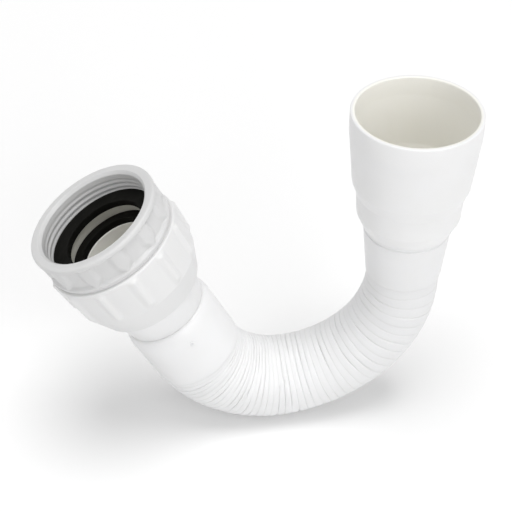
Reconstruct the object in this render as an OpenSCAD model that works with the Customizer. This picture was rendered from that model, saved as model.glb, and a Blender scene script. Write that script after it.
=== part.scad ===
// Flexible P trap: threaded inlet with a union, pleated hose through a U, stepped push-in outlet.
// The origin is on the inlet axis, where the inside thread starts. The outlet axis is vertical.

/* [Inlet thread] */
// Bore under the crests of the inside thread, G 1 1/2
thread_bore_d = 44.8; // [40:0.1:48]
// Length of the wall that carries the inside thread
thread_wall = 8.5; // [8:0.1:11]
// Depth of the lead-in chamfer above the thread
thread_lead = 1; // [0.5:0.1:2]
// Widening of the bore at the lead-in, on the radius
lead_flare = 1.6; // [0.5:0.1:2]
// Lean of the inlet axis away from the outlet, from vertical
inlet_tilt = 27.3; // [0:0.5:50]

// Depth of the recess under the thread, into which the washer snaps
recess = 0.8; // [0.4:0.1:1.2]

/* [Mouth ring] */
// Wall of the mouth ring at its rim, outside the bore
ring_wall = 4.8; // [4.4:0.1:6]
// Length of the mouth ring along the axis
ring_len = 13.6; // [13:0.1:16]
// How far the ring's side stands back from its rim
side_inset = 1.6; // [1:0.1:1.9]
// Height of the rim bead
rim_h = 2.2; // [1.6:0.1:3.5]
// How far the lower bead stands back from the rim
low_inset = 0.3; // [0.1:0.1:0.6]
// Height of the lower bead
low_h = 1.4; // [1:0.1:2.4]
// Rounding of the ring's outer edges
ring_edge = 0.9; // [0.3:0.1:1.5]
// Lugs round the mouth ring
lug_count = 12; // [6:1:16]
// Width of a lug
lug_w = 6.6; // [3:0.1:8]
// How far a lug stands back from the lower bead
lug_inset = 0.1; // [0.1:0.1:0.5]
// Turn of the first lug from the side away from the outlet
lug_turn = 12; // [0:1:30]

/* [Seals] */
// Thickness of both flat washers
washer_t = 3; // [1.5:0.1:4]
// Width of the seat for the union washer, round the adapter's throat
seat_w = 3.5; // [2.6:0.1:4]
// How far the inlet washer reaches into the throat
inlet_washer_reach = 1.5; // [0.5:0.1:2.5]
// How far the union washer reaches into the throat
union_washer_reach = 3.6; // [2:0.1:4.2]
// Depth of the union seat under the mouth
seat_depth = 17; // [16.5:0.1:20]
// Thickness of the slip ring under the flange
slip_t = 1.4; // [0.8:0.1:2]

/* [Union] */
// How far the crests of the outside thread stand outside the inlet bore
male_rise = 1; // [0.5:0.1:1.6]
// Wall of the socket under that thread
male_wall = 1.9; // [1.5:0.1:2.4]
// Length of the socket that holds the union washer and the flange
socket_len = 7; // [5:0.1:10]
// Dark line between the mouth ring and the nut
ring_gap = 1; // [0.4:0.1:2]
// Wall of the nut at its top, outside the thread and without ribs
nut_wall = 4.2; // [3.6:0.1:5]
// Taper of the nut's grip, on the diameter
nut_taper = 2; // [0:0.1:2.6]
// Length of the nut's ribbed grip
grip_len = 18; // [16:0.1:19]
// Length of the nut
nut_len = 29; // [26:0.1:32]
// Length of the threaded chamber inside the nut
chamber_len = 15; // [14:0.1:16]
// Thickness of the inner lip that pulls the flange up
lip_t = 4.6; // [3:0.1:5]
// Wall of the nut's skirt, under the lip
skirt_wall = 2.6; // [2:0.1:3]
// Thickness of the nut's lower end, outside the tail tube
nut_end_w = 6.2; // [5:0.1:7]
// Grip ribs round the nut
rib_count = 12; // [6:1:20]
// Width of a grip rib
rib_w = 3.2; // [1.5:0.1:5]
// Height of a grip rib
rib_h = 1.2; // [0.5:0.1:1.8]
// Turn of the first rib from the side away from the outlet
rib_turn = 15; // [0:1:30]

/* [Tail] */
// Width of the flange that the nut pulls up, outside the tail tube
flange_w = 5.5; // [5:0.1:6]
// Wall of the tail tube
tail_wall = 1.9; // [1.6:0.1:2.2]
// Depth of the tail's end under the mouth
tail_end = 80.5; // [74:0.5:90]
// Thickness of the cone under the nut, outside the tail tube
cone_top_w = 4; // [3:0.1:5]
// Thickness of the cone at its lower end
cone_low_w = 1.3; // [1.1:0.1:2]
// Depth of the cone's lower end under the mouth
cone_end = 56; // [52:0.5:62]
// Wall of the inlet cuff round the tail tube
cuff_in_wall = 3.1; // [2.6:0.1:3.6]
// Rise of the cuff's rounded shoulder from the cone
cuff_rise = 1.7; // [0.8:0.1:1.8]
// Length of that shoulder
cuff_rise_len = 5.5; // [2:0.5:10]
// Thickness of the web that closes each cuff onto the hose
web_t = 3; // [2:0.1:4]

/* [Hose] */
// Bend radius of the hose on the inlet side
bend_r_in = 36.6; // [34:0.1:45]
// Bend radius of the hose on the outlet side
bend_r_out = 52.3; // [45:0.1:56]
// Straight riser under the outlet
riser = 3.3; // [1:0.1:20]
// Step from the inlet cuff down to the pleats
hose_step = 0.6; // [0.3:0.1:1.4]
// Diameter over the pleats at the outlet end
crest_out_d = 29.5; // [29:0.1:34]
// Depth of the crease between two closed pleats, at the inlet end
crease_in = 1; // [0.4:0.1:1.4]
// Depth of the crease between two open pleats, at the outlet end
crease_out = 0.6; // [0.3:0.1:1]
// Share of a pleat's pitch that each side of a crease takes
crease_w = 0.2; // [0.1:0.05:0.4]
// Depth of a closed pleat inside the hose, at the inlet end
pleat_in = 3.2; // [2:0.1:4]
// Depth of an open pleat inside the hose, at the outlet end
pleat_out = 2; // [1:0.1:3]
// Pitch of the closed pleats
pitch_in = 2.2; // [2.2:0.05:3]
// Wall across a closed pleat, on the radius
wall_in = 1.6; // [1:0.1:2]
// Wall across an open pleat, on the radius
wall_out = 0.8; // [0.6:0.1:1.2]
// Flat sides round the hose
hose_sides = 28; // [16:2:36]

/* [Outlet] */
// Outside diameter of the push-in end
spigot_d = 50; // [49:0.1:51]
// Straight land at the rim
spigot_land = 8; // [6:0.5:14]
// Wall of the spigot
spigot_wall = 1.8; // [1.4:0.1:2.4]
// Taper of the first step, on the diameter
step1_taper = 4.2; // [1:0.1:4.6]
// Length of the first step, from the rim
step1_len = 31; // [26:0.5:36]
// How much narrower the second step is than the rim, on the diameter
step2_drop = 8.2; // [7:0.1:10]
// Taper of the second and third steps, on the diameter
step_taper = 0.9; // [0.4:0.1:1.5]
// Length of the second step and its upper shoulder
step2_len = 15; // [12:0.5:18]
// How much narrower the third step is than the rim, on the diameter
step3_drop = 14; // [13:0.1:15]
// Length of the third step and its upper shoulder
step3_len = 6.5; // [6.5:0.5:12]
// Height of a rounded shoulder
shoulder_h = 5.5; // [3:0.1:6]
// Height of the groove under the spigot
groove_h = 1.5; // [1:0.1:4]
// Wall of the groove outside the neck
groove_wall = 2.9; // [1.2:0.1:3.2]
// How much narrower the neck inside the cuff is than the pleats, on the diameter
neck_drop = 2; // [1.8:0.1:2.8]
// Wall of the neck
neck_wall = 1.6; // [1.2:0.1:1.6]
// Length of the outlet cuff
cuff_out_len = 22; // [14:0.5:26]
// Wall of the outlet cuff at its top
cuff_out_top_wall = 3.5; // [2:0.1:3.8]
// Wall of the outlet cuff at the hose
cuff_out_low_wall = 1.4; // [1.2:0.1:1.8]

/* [Edges] */
// Chamfer at the start of the outside thread
male_edge = 0.8; // [0.4:0.1:1.2]
// Chamfer of the nut's edges
nut_edge = 1; // [0.5:0.1:1.5]
// Chamfer of the inlet cuff at the hose
cone_edge = 0.6; // [0.3:0.1:0.8]
// Chamfer of the outlet cuff
cuff_edge = 0.8; // [0.4:0.1:1]

/* [Clearances] */
// Radial clearance of a washer in its seat
seal_clear = 0.3; // [0.1:0.05:0.5]
// Radial clearance between the male thread and the nut
thread_clear = 0.3; // [0.2:0.05:0.5]
// Radial clearance of the lip and the slip ring round the tail
lip_clear = 0.4; // [0.2:0.05:0.6]
// Clearance between glued pieces
glue_clear = 0.1; // [0.05:0.05:0.2]
// Gap between the nut's lower end and the cone
nut_gap = 0.5; // [0.3:0.1:1]

/* [Hidden] */
$fn = 96;
hose_runs = 10;
pleats_per_run = 4;
shoulder_steps = 6;
run_names = [for (i = [1:hose_runs]) str("hose_run_", i < 10 ? "0" : "", i)];

white = [0.93, 0.93, 0.92];
rubber = [0.07, 0.07, 0.07];
natural = [0.86, 0.85, 0.8];

// Diameters about the inlet axis
ring_d = thread_bore_d + 2 * ring_wall;
recess_d = thread_bore_d + 2 * recess;
male_d = thread_bore_d + 2 * male_rise;
socket_d = male_d - 2 * male_wall;
throat_d = socket_d - 2 * seat_w;
nut_bore_d = male_d + 2 * thread_clear;
nut_top_d = male_d + 2 * nut_wall;
nut_grip_d = nut_top_d - nut_taper;
tail_d = socket_d - 2 * flange_w;
nut_end_d = tail_d + 2 * nut_end_w;
tail_bore_d = tail_d - 2 * tail_wall;
fit_d = tail_d + 2 * glue_clear;
cone_top_d = tail_d + 2 * cone_top_w;
cone_low_d = tail_d + 2 * cone_low_w;
cuff_in_d = tail_d + 2 * cuff_in_wall;
crest_in_d = cuff_in_d - 2 * hose_step;

// Diameters about the outlet axis
step1_low_d = spigot_d - step1_taper;
step2_d = spigot_d - step2_drop;
step3_d = spigot_d - step3_drop;
neck_d = crest_out_d - neck_drop;
groove_d = neck_d + 2 * groove_wall;

// Depths along the inlet axis, from the mouth
recess_depth = thread_lead + thread_wall;
shelf_depth = recess_depth + washer_t;
nut_depth = ring_len + ring_gap;
lip_depth = nut_depth + chamber_len;
slip_depth = lip_depth - slip_t;
flange_depth = seat_depth + washer_t;
cone_depth = nut_depth + nut_len + nut_gap;
cuff_end = tail_end + web_t;

// The hose's centre line: an arc down to the lowest point, a wider arc up, then straight to the outlet
arc_in_deg = 90 - inlet_tilt;
arc_in_len = bend_r_in * arc_in_deg * PI / 180;
arc_out_len = bend_r_out * PI / 2;
hose_len = arc_in_len + arc_out_len + riser;
// The pleats open from run to run, by squares, so that together they fill that length
function squares(i) = i < 0 ? 0 : pow(i / (hose_runs - 1), 2) + squares(i - 1);
pitch_out = pitch_in + (hose_len / pleats_per_run - hose_runs * pitch_in) / squares(hose_runs - 1);
function run_pitch(i) = pitch_in + (pitch_out - pitch_in) * pow(i / (hose_runs - 1), 2);
function run_len(i) = pleats_per_run * run_pitch(i);
function run_start(i) = i == 0 ? 0 : run_start(i - 1) + run_len(i - 1);
hose_start = (cuff_end - thread_lead) * [sin(inlet_tilt), -cos(inlet_tilt)];
lowest = hose_start + bend_r_in * [cos(inlet_tilt), sin(inlet_tilt) - 1];
outlet_foot = lowest + [bend_r_out, bend_r_out + riser];

function heading(s) =
    s < arc_in_len ? (s - arc_in_len) / bend_r_in * 180 / PI
    : s < arc_in_len + arc_out_len ? (s - arc_in_len) / bend_r_out * 180 / PI
    : 90;
function centre(s) =
    let (r = s < arc_in_len ? bend_r_in : bend_r_out)
    s < arc_in_len + arc_out_len ? lowest + r * [sin(heading(s)), 1 - cos(heading(s))]
    : outlet_foot - [0, hose_len - s];
function along(a, b, s) = a + (b - a) * s / hose_len;
function crest_r(s) = along(crest_in_d, crest_out_d, s) / 2;
function crease_r(s) = crest_r(s) - along(crease_in, crease_out, s);
function root_r(s) = crest_r(s) - along(pleat_in, pleat_out, s);
function wall(s) = along(wall_in, wall_out, s);
function ring_at(s, r) =
    let (c = centre(s), h = heading(s))
    [for (i = [0:hose_sides - 1]) let (a = 360 * i / hose_sides)
        [c.x - r * cos(a) * sin(h), r * sin(a), c.y + r * cos(a) * cos(h)]];
hose_bore_in = root_r(0) - wall(0);
hose_bore_out = root_r(hose_len) - wall(hose_len);

// Rounded shoulder from a wide step down to a narrow one
function shoulder(r_wide, r_narrow, z, h) =
    [for (i = [0:shoulder_steps]) let (a = 90 * i / shoulder_steps)
        [r_narrow + (r_wide - r_narrow) * cos(a), z - h * sin(a)]];

// Local z is the depth under the mouth
module inlet_axis() {
    rotate([0, 180 - inlet_tilt, 0]) translate([0, 0, -thread_lead]) children();
}

// Local z is the height above the end of the hose
module outlet_axis() {
    translate([outlet_foot.x, 0, outlet_foot.y]) children();
}

// Flat ring from depth z0 to z1
module flat_ring(r_out, r_in, z0, z1) {
    translate([0, 0, z0]) difference() {
        cylinder(r = r_out, h = z1 - z0);
        translate([0, 0, -1]) cylinder(r = r_in, h = z1 - z0 + 2);
    }
}

module lugs() {
    side = ring_d / 2 - side_inset;
    rise = side_inset - low_inset - lug_inset;
    root = 1;
    for (i = [0:lug_count - 1])
        rotate([0, 0, lug_turn + 360 * i / lug_count]) translate([side, 0, rim_h / 2])
            linear_extrude(height = ring_len - rim_h / 2 - low_h / 2)
                polygon([[-root, -lug_w / 2], [0, -lug_w / 2], [rise, rise - lug_w / 2],
                         [rise, lug_w / 2 - rise], [0, lug_w / 2], [-root, lug_w / 2]]);
}

module inlet_adapter() {
    rim = ring_d / 2;
    side = rim - side_inset;
    bead = rim - low_inset;
    slope = side_inset / 2;
    bore = thread_bore_d / 2;
    socket_end = seat_depth + socket_len;
    color(white) inlet_axis() {
        rotate_extrude() polygon([
            [bore + lead_flare, 0], [bore, thread_lead], [bore, recess_depth], [recess_d / 2, recess_depth],
            [recess_d / 2, shelf_depth], [throat_d / 2, shelf_depth],
            [throat_d / 2, seat_depth], [socket_d / 2, seat_depth], [socket_d / 2, socket_end],
            [male_d / 2 - male_edge, socket_end], [male_d / 2, socket_end - male_edge], [male_d / 2, ring_len],
            [bead - slope, ring_len], [bead, ring_len - slope], [bead, ring_len - low_h],
            [side, ring_len - low_h - slope], [side, rim_h + slope], [rim, rim_h], [rim, ring_edge],
            [rim - ring_edge, 0]
        ]);
        lugs();
    }
}

module inlet_washer() {
    color(rubber) inlet_axis()
        flat_ring(recess_d / 2 - seal_clear, throat_d / 2 - inlet_washer_reach, recess_depth, shelf_depth);
}

module union_washer() {
    color(rubber) inlet_axis()
        flat_ring(socket_d / 2 - seal_clear, throat_d / 2 - union_washer_reach, seat_depth, flange_depth);
}

module slip_ring() {
    color(natural) inlet_axis()
        flat_ring(nut_bore_d / 2 - lip_clear, tail_d / 2 + lip_clear, slip_depth, lip_depth);
}

module union_nut() {
    top = nut_top_d / 2;
    grip = nut_grip_d / 2;
    end = nut_end_d / 2;
    grip_end = nut_depth + grip_len;
    nut_end = nut_depth + nut_len;
    lip_end = lip_depth + lip_t;
    lip_side = grip + (end - grip) * (lip_end - grip_end) / (nut_end - grip_end);
    rib_len = grip_len - 2 * nut_edge;
    lean = atan((top - grip) / grip_len);
    past = 1;
    color(white) inlet_axis() difference() {
        union() {
            rotate_extrude() polygon([
                [0, nut_depth], [top - nut_edge, nut_depth], [top, nut_depth + nut_edge], [grip, grip_end],
                [end, nut_end], [0, nut_end]
            ]);
            for (i = [0:rib_count - 1])
                rotate([0, 0, rib_turn + 360 * i / rib_count]) translate([top, 0, nut_depth + nut_edge])
                    rotate([0, -lean, 0]) translate([rib_h - rib_w / 2, 0, 0]) cylinder(d = rib_w, h = rib_len);
        }
        translate([0, 0, nut_depth - past]) cylinder(d = nut_bore_d, h = chamber_len + past);
        translate([0, 0, nut_depth]) cylinder(r = tail_d / 2 + lip_clear, h = nut_len + past);
        rotate_extrude() polygon([
            [0, lip_end], [lip_side - skirt_wall, lip_end], [end - skirt_wall, nut_end],
            [end - skirt_wall, nut_end + past], [0, nut_end + past]
        ]);
    }
}

module flanged_tail() {
    color(white) inlet_axis() difference() {
        union() {
            translate([0, 0, flange_depth])
                cylinder(r = socket_d / 2 - seal_clear, h = slip_depth - flange_depth);
            translate([0, 0, flange_depth]) cylinder(d = tail_d, h = tail_end - flange_depth);
        }
        translate([0, 0, flange_depth - 1]) cylinder(d = tail_bore_d, h = tail_end - flange_depth + 2);
    }
}

module cone_sleeve() {
    color(white) inlet_axis() rotate_extrude() polygon([
        [fit_d / 2, cone_depth], [cone_top_d / 2, cone_depth], [cone_low_d / 2, cone_end], [fit_d / 2, cone_end]
    ]);
}

module inlet_cuff() {
    r = cuff_in_d / 2;
    color(white) inlet_axis() rotate_extrude() polygon(concat(
        [[fit_d / 2, tail_end], [hose_bore_in, tail_end], [hose_bore_in, cuff_end], [r - cone_edge, cuff_end],
         [r, cuff_end - cone_edge]],
        shoulder(r, r - cuff_rise, cone_end + cuff_rise_len, cuff_rise_len),
        [[fit_d / 2, cone_end]]
    ));
}

// One run of the hose: outside, broad crests with narrow creases between them; inside, deep folds
module hose_run(i) {
    pitch = run_pitch(i);
    n = hose_sides;
    outer_at = concat([for (k = [0:pleats_per_run - 1]) each [k, k + crease_w, k + 1 - crease_w]], [pleats_per_run]);
    inner_at = [for (k = [0:2 * pleats_per_run]) k / 2];
    outer = [for (k = outer_at) let (s = run_start(i) + k * pitch)
        each ring_at(s, k == floor(k) ? crease_r(s) : crest_r(s))];
    inner = [for (k = inner_at) let (s = run_start(i) + k * pitch)
        each ring_at(s, (k == floor(k) ? root_r(s) : crest_r(s)) - wall(s))];
    out_end = (len(outer_at) - 1) * n;
    skin = len(outer);
    in_end = skin + (len(inner_at) - 1) * n;
    function quad(a, b, c, d) = [[a, b, c], [a, c, d]];
    function next(j) = (j + 1) % n;
    outside = [for (k = [0:n:out_end - n], j = [0:n - 1]) each
        quad(k + j, k + n + j, k + n + next(j), k + next(j))];
    inside = [for (k = [skin:n:in_end - n], j = [0:n - 1]) each
        quad(k + j, k + next(j), k + n + next(j), k + n + j)];
    ends = [for (j = [0:n - 1]) each concat(
        quad(j, next(j), skin + next(j), skin + j),
        quad(out_end + j, in_end + j, in_end + next(j), out_end + next(j)))];
    color(white) polyhedron(points = concat(outer, inner), faces = concat(outside, inside, ends), convexity = 10);
}

module outlet_cuff() {
    bore = neck_d / 2 + glue_clear;
    top = neck_d / 2 + cuff_out_top_wall;
    low = neck_d / 2 + cuff_out_low_wall;
    color(white) outlet_axis() rotate_extrude() polygon([
        [hose_bore_out, 0], [low, 0], [top, cuff_out_len - cuff_edge],
        [top - cuff_edge, cuff_out_len], [bore, cuff_out_len], [bore, web_t],
        [hose_bore_out, web_t]
    ]);
}

module outlet_spigot() {
    foot = cuff_out_len;
    rim = foot + groove_h + step3_len + step2_len + step1_len;
    step1_z = rim - step1_len;
    step2_z = step1_z - step2_len;
    step3_z = foot + groove_h;
    r1 = spigot_d / 2;
    r1_low = step1_low_d / 2;
    r2 = step2_d / 2;
    r2_low = r2 - step_taper / 2;
    r3 = step3_d / 2;
    r3_low = r3 - step_taper / 2;
    w = spigot_wall;
    neck_in = neck_d / 2 - neck_wall;
    outer = concat(
        [[r1, rim], [r1, rim - spigot_land]],
        shoulder(r1_low, r2, step1_z, shoulder_h),
        shoulder(r2_low, r3, step2_z, shoulder_h),
        [[r3_low, step3_z + cuff_edge], [r3_low - cuff_edge, step3_z], [groove_d / 2, step3_z], [groove_d / 2, foot],
         [neck_d / 2, foot], [neck_d / 2, web_t + glue_clear]]
    );
    inner = concat(
        [[r1 - w, rim], [r1 - w, rim - spigot_land]],
        shoulder(r1_low - w, r2 - w, step1_z + w, shoulder_h),
        shoulder(r2_low - w, r3 - w, step2_z + w, shoulder_h),
        [[r3_low - w, step3_z + w], [neck_in, step3_z + w / 2], [neck_in, web_t + glue_clear]]
    );
    color(white) outlet_axis() rotate_extrude()
        polygon(concat(outer, [for (i = [len(inner) - 1:-1:0]) inner[i]]));
}

inlet_adapter();
inlet_washer();
union_nut();
union_washer();
slip_ring();
flanged_tail();
cone_sleeve();
inlet_cuff();
for (i = [0:hose_runs - 1])
    hose_run(i);
outlet_cuff();
outlet_spigot();
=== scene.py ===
# Flexible P trap: union inlet, pleated hose through a U, stepped outlet. Sizes are in millimetres where a
# dictionary says so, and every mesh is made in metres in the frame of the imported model.
import math

import bmesh
import bpy
from mathutils import Matrix, Vector, noise
from mathutils.bvhtree import BVHTree
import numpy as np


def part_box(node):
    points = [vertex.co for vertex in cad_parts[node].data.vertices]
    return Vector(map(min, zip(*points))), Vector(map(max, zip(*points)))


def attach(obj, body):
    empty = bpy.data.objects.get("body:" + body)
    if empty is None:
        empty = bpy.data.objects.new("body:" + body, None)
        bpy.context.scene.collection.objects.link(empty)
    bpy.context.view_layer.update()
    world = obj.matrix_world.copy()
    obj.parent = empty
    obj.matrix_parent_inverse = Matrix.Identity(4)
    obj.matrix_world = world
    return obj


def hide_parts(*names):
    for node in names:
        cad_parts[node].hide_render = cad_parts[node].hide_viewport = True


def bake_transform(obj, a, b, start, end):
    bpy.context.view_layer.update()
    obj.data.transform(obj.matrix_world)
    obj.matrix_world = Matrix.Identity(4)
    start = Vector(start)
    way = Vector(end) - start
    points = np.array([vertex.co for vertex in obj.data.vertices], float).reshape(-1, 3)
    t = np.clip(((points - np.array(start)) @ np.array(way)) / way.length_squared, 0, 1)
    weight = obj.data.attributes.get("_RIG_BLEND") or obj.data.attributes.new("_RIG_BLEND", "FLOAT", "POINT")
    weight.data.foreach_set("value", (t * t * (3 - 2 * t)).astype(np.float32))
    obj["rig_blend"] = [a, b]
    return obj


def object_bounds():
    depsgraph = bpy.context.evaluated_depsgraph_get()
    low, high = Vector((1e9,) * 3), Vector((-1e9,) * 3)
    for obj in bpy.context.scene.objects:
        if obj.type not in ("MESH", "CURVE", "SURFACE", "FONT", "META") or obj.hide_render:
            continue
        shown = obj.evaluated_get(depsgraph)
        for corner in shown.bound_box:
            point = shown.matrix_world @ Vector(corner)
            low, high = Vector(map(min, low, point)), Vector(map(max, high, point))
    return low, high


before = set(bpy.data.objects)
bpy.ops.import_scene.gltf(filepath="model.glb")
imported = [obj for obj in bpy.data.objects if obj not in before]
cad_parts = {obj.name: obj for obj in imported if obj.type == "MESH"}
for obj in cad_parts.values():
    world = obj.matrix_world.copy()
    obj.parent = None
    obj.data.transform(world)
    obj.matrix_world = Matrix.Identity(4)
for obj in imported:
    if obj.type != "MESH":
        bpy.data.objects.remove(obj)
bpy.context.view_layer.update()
scene = bpy.context.scene
mm = 0.001
print("frame loaded,", len(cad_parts), "nodes")

# image points of the photograph, in its own 512 by 512 frame
imagePoints = {
    "leftEdge": (28.5, 252),
    "rightEdge": (488, 113),
    "topEdge": (420, 75.5),
    "bottomEdge": (262, 415.7),
    "outletRim": (420, 112.9),
    "mouth": (89.5, 219.8),
    "seatWasher": (97.5, 228),
    "unionGap": (117, 286),
    "coneStep": (157, 341),
    "cuffEnd": (203, 376),
    "hoseInside": (291, 334.3),
    "hoseOutside": (411, 343),
    "outletNotch": (365.8, 230.5),
    "gatePip": (192, 344),
    "creaseLow": (245, 398),
    "creaseMid": (279, 390),
}

cameraSetup = {
    "lens": 91.4,  # mm
    "sensor": 36,  # mm
    "elevation": 40.33,  # looking down, degrees
    "azimuth": -6.92,  # turned about the upright, degrees
    "fromRim": (-107.4, -389.7, 269.4),  # from the middle of the outlet's rim, mm
}


def outletRim():
    low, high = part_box("outlet_spigot")
    return Vector(((low[0] + high[0]) / 2, (low[1] + high[1]) / 2, high[2]))


def makeCamera():
    data = bpy.data.cameras.new("camera")
    data.lens = cameraSetup["lens"]
    data.sensor_width = cameraSetup["sensor"]
    data.sensor_fit = "AUTO"
    cam = bpy.data.objects.new("camera", data)
    scene.collection.objects.link(cam)
    cam.location = outletRim() + Vector(cameraSetup["fromRim"]) * mm
    upTurn = math.radians(90 - cameraSetup["elevation"])
    cam.rotation_euler = (upTurn, 0, math.radians(cameraSetup["azimuth"]))
    scene.camera = cam
    bpy.context.view_layer.update()
    return cam


camera = makeCamera()

inletLine = {"tilt": 27.3, "lead": 1.0}  # degrees from vertical, and depth of the frame's origin, mm

# the hose as in the CAD, mm: two arcs and a straight riser, with pleats that open towards the outlet
hoseLine = {
    "start": 83.5, "bendIn": 36.6, "bendOut": 52.3, "runs": 10, "pleatsPerRun": 4,
    "pitchIn": 2.2, "riser": 3.3, "crestIn": 18.5, "crestOut": 14.75,
    "wallIn": 1.6, "wallOut": 0.8,
}


def inletPlace():
    # local z is the depth under the mouth
    turn = Matrix.Rotation(math.radians(180 - inletLine["tilt"]), 4, "Y")
    return turn @ Matrix.Translation((0, 0, -inletLine["lead"] * mm))


def outletPlace():
    # local z is the height above the end of the hose
    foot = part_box("outlet_cuff")[0][2]
    rim = outletRim()
    return Matrix.Translation((rim.x, rim.y, foot))


arcIn = hoseLine["bendIn"] * math.radians(90 - inletLine["tilt"])
arcOut = hoseLine["bendOut"] * math.pi / 2
hoseLength = arcIn + arcOut + hoseLine["riser"]


def runGrowth(i):
    # 0 at the first run of pleats, 1 at the last
    return (i / (hoseLine["runs"] - 1)) ** 2


def runPitch(i):
    h = hoseLine
    growth = sum(runGrowth(k) for k in range(h["runs"]))
    return h["pitchIn"] + (hoseLength / h["pleatsPerRun"] - h["runs"] * h["pitchIn"]) / growth * runGrowth(i)


runStarts = [0.0]
for runIndex in range(hoseLine["runs"]):
    runStarts.append(runStarts[-1] + hoseLine["pleatsPerRun"] * runPitch(runIndex))


def hoseHeading(s):
    if s < arcIn:
        return (s - arcIn) / hoseLine["bendIn"]
    return min((s - arcIn) / hoseLine["bendOut"], math.pi / 2)


def hoseCentre(s):
    # middle of the hose, s mm along it
    tilt = math.radians(inletLine["tilt"])
    reach = hoseLine["start"] - inletLine["lead"]
    lowX = reach * math.sin(tilt) + hoseLine["bendIn"] * math.cos(tilt)
    lowZ = -reach * math.cos(tilt) + hoseLine["bendIn"] * (math.sin(tilt) - 1)
    r = hoseLine["bendIn"] if s < arcIn else hoseLine["bendOut"]
    turn = hoseHeading(s)
    rise = max(0.0, s - arcIn - arcOut)
    return Vector((lowX + r * math.sin(turn), 0, lowZ + r * (1 - math.cos(turn)) + rise)) * mm


def alongHose(first, last, s):
    return first + (last - first) * s / hoseLength


def pleatPhase(s):
    # whole numbers are roots, halves are crests
    i = 0
    while i < hoseLine["runs"] - 1 and s > runStarts[i + 1]:
        i += 1
    return i * hoseLine["pleatsPerRun"] + (s - runStarts[i]) / runPitch(i)


def addPiece(name, bm, material, body=None, smoothAngle=40):
    mesh = bpy.data.meshes.new(name)
    bm.to_mesh(mesh)
    bm.free()
    for face in mesh.polygons:
        face.use_smooth = True
    mesh.set_sharp_from_angle(angle=math.radians(smoothAngle))
    piece = bpy.data.objects.new(name, mesh)
    scene.collection.objects.link(piece)
    mesh.materials.append(material)
    if body:
        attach(piece, body)
    return piece


def softOutline(corners, steps=5):
    # corners are (radius, height, rounding); each corner becomes an arc
    points = []
    for k, (x, z, rounding) in enumerate(corners):
        here = Vector((x, z))
        before = Vector(corners[k - 1][:2]) - here
        after = Vector(corners[(k + 1) % len(corners)][:2]) - here
        if rounding <= 0:
            points.append(here)
            continue
        half = before.angle(after) / 2
        longest = 0.49 * min(before.length, after.length)  # so that two roundings never meet
        cut = min(rounding / math.tan(half), longest)
        a = here + before.normalized() * cut
        b = here + after.normalized() * cut
        for j in range(steps + 1):
            t = j / steps
            points.append(a * (1 - t) ** 2 + here * 2 * t * (1 - t) + b * t * t)
    return points


def spinOutline(points, steps):
    # a closed outline in mm, turned once round z
    bm = bmesh.new()
    ring = [bm.verts.new((p[0] * mm, 0, p[1] * mm)) for p in points]
    for k, v in enumerate(ring):
        bm.edges.new((v, ring[(k + 1) % len(ring)]))
    bmesh.ops.spin(bm, geom=bm.verts[:] + bm.edges[:], axis=(0, 0, 1), cent=(0, 0, 0), dvec=(0, 0, 0),
                   angle=2 * math.pi, steps=steps, use_merge=True, use_duplicate=False)
    bmesh.ops.remove_doubles(bm, verts=bm.verts, dist=1e-7)
    bmesh.ops.recalc_face_normals(bm, faces=bm.faces)
    return bm


def denseLine(a, b, step):
    # points from a to b, without b
    count = max(1, round((Vector(b) - Vector(a)).length / step))
    return [Vector(a).lerp(Vector(b), k / count) for k in range(count)]


def setValues(piece, name, values):
    # one number for each vertex, read by the materials
    layer = piece.data.attributes.get(name) or piece.data.attributes.new(name, "FLOAT", "POINT")
    layer.data.foreach_set("value", values)


def moveRound(bm, shift):
    # shift gives each vertex its new radius from its radius, angle and height, all in mm and radians
    for v in bm.verts:
        r = math.hypot(v.co.x, v.co.y)
        if r < 1e-6:
            continue
        new = shift(r / mm, math.atan2(v.co.y, v.co.x), v.co.z / mm) * mm
        v.co.x *= new / r
        v.co.y *= new / r


def smoothStep(low, high, x):
    t = min(max((x - low) / (high - low), 0.0), 1.0)
    return t * t * (3 - 2 * t)


def roundNoise(a, waves, place):
    # a noise that closes on itself once round the axis; more waves are finer
    return noise.noise(Vector((math.cos(a) * waves, math.sin(a) * waves, place)))


def newGroup(name, inputs, outputs):
    group = bpy.data.node_groups.new(name, "ShaderNodeTree")
    for label, kind, value in inputs:
        socket = group.interface.new_socket(label, in_out="INPUT", socket_type=kind)
        socket.default_value = value
    for label, kind in outputs:
        group.interface.new_socket(label, in_out="OUTPUT", socket_type=kind)
    return group, group.nodes.new("NodeGroupInput"), group.nodes.new("NodeGroupOutput")


def addNode(tree, kind, **values):
    node = tree.nodes.new(kind)
    for key, value in values.items():
        setattr(node, key, value)
    return node


def noiseNode(tree, place, scale, detail=3.0):
    node = addNode(tree, "ShaderNodeTexNoise")
    if isinstance(scale, (int, float)):
        node.inputs["Scale"].default_value = scale
    else:
        tree.links.new(scale, node.inputs["Scale"])
    node.inputs["Detail"].default_value = detail
    tree.links.new(place, node.inputs["Vector"])
    return node.outputs["Fac"]


def rangeNode(tree, value, low, high):
    # stretches 0.3..0.7, where most of a noise lies, to low..high
    node = addNode(tree, "ShaderNodeMapRange", clamp=True)
    node.inputs["From Min"].default_value = 0.3
    node.inputs["From Max"].default_value = 0.7
    tree.links.new(value, node.inputs["Value"])
    for label, bound in (("To Min", low), ("To Max", high)):
        if isinstance(bound, (int, float)):
            node.inputs[label].default_value = bound
        else:
            tree.links.new(bound, node.inputs[label])
    return node.outputs["Result"]


def mathNode(tree, operation, a, b):
    node = addNode(tree, "ShaderNodeMath", operation=operation)
    for socket, value in zip(node.inputs, (a, b)):
        if isinstance(value, (int, float)):
            socket.default_value = value
        else:
            tree.links.new(value, socket)
    return node.outputs[0]


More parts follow.
